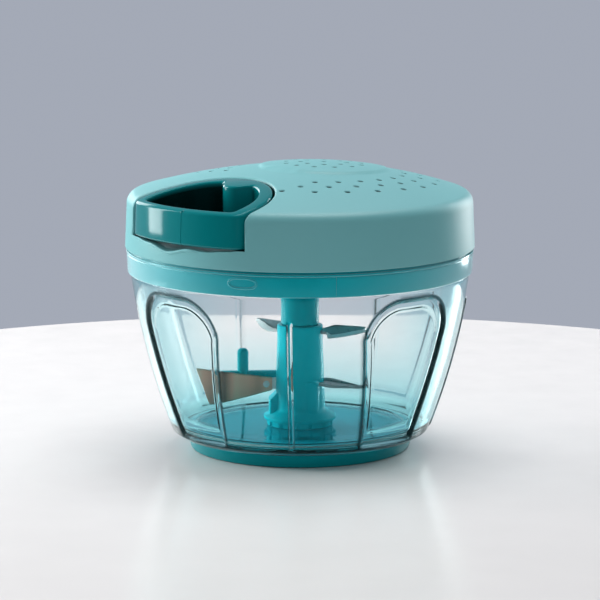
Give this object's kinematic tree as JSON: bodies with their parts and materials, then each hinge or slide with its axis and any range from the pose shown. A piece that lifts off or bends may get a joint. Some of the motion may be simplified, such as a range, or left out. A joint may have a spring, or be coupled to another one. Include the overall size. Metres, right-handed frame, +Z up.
{
  "type": "pull-string food chopper",
  "caption": "Hand food chopper: a clear tapered bowl with knives on a floor pivot, and a domed lid whose pull handle and cord spin them through a ratchet drive.",
  "frame": {"origin": "middle of the foot's underside, on the table", "axes": "+Z up along the drive shaft, -Y the way the handle pulls out, +X to the right as the handle faces the user"},
  "size_m": [0.128, 0.128, 0.1042],
  "materials": {
    "clear_bowl": "clear, faintly cyan, polished",
    "foot_rubber": "soft matt non-slip rubber",
    "lid_plastic": "satin moulded plastic",
    "collar_plastic": "glossy, slightly see-through",
    "handle_plastic": "glossy moulded plastic",
    "drive_plastic": "semi-gloss moulded plastic",
    "knife_steel": "polished stainless with a ground edge",
    "paddle_steel": "brushed stainless, warm reflections",
    "fitting_steel": "plain steel",
    "spring_steel": "dark spring steel",
    "white_plastic": "plain white bearing plastic",
    "seal_rubber": "translucent silicone",
    "cord_fibre": "braided cord"
  },
  "bodies": {
    "base": {"bowl": "clear_bowl", "base_pad": "foot_rubber", "pivot_pin": "fitting_steel"},
    "lid": {"lid_cover": "lid_plastic", "lid_collar": "collar_plastic", "lid_gasket": "seal_rubber", "lid_screws": "fitting_steel", "shaft_bush": "white_plastic", "spool_axle": "fitting_steel", "recoil_spring": "spring_steel", "cord_eyelet": "fitting_steel", "cord_lead": "cord_fibre"},
    "handle": {"pull_handle": "handle_plastic", "cord_knot": "cord_fibre"},
    "spool": {"cord_spool": "white_plastic", "spring_cover": "white_plastic", "cord_winding": "cord_fibre"},
    "shaft": {"drive_shaft": "drive_plastic", "shaft_clip": "fitting_steel"},
    "pawl_a": {"pawl_a": "white_plastic"},
    "pawl_b": {"pawl_b": "white_plastic"},
    "blades": {"blade_hub": "drive_plastic", "upper_blade": "knife_steel", "lower_blade": "knife_steel", "paddle_blade": "paddle_steel", "paddle_tab": "fitting_steel", "paddle_arm": "drive_plastic", "paddle_rivet": "fitting_steel"}
  },
  "joints": [
    {"name": "handle_pull", "type": "slide", "parent": "lid", "child": "handle", "axis": [0, -1, 0], "range_m": [0, 0.32], "stiffness_N_per_m": 10, "springref_m": -0.3},
    {"name": "lid_lift", "type": "slide", "parent": "base", "child": "lid", "axis": [0, 0, 1], "range_m": [0, 0.09]},
    {"name": "spool_spin", "type": "hinge", "parent": "lid", "child": "spool", "pos_m": [0, 0, 0.088], "axis": [0, 0, 1], "continuous": true},
    {"name": "shaft_spin", "type": "hinge", "parent": "lid", "child": "shaft", "pos_m": [0, 0, 0.06], "axis": [0, 0, 1], "continuous": true},
    {"name": "blade_spin", "type": "hinge", "parent": "base", "child": "blades", "pos_m": [0, 0, 0.02], "axis": [0, 0, 1], "continuous": true},
    {"name": "pawl_a_swing", "type": "hinge", "parent": "shaft", "child": "pawl_a", "pos_m": [0.00671, 0.00995, 0.08], "axis": [0, 0, -1], "range_deg": [0, 12]},
    {"name": "pawl_b_swing", "type": "hinge", "parent": "shaft", "child": "pawl_b", "pos_m": [-0.00671, -0.00995, 0.08], "axis": [0, 0, -1], "range_deg": [0, 12]}
  ],
  "couplings": [
    {"joint": "spool_spin", "follows": "handle_pull", "rad_per_m": 64.725},
    {"joint": "shaft_spin", "follows": "handle_pull", "rad_per_m": 64.725},
    {"joint": "blade_spin", "follows": "handle_pull", "rad_per_m": 64.725}
  ]
}
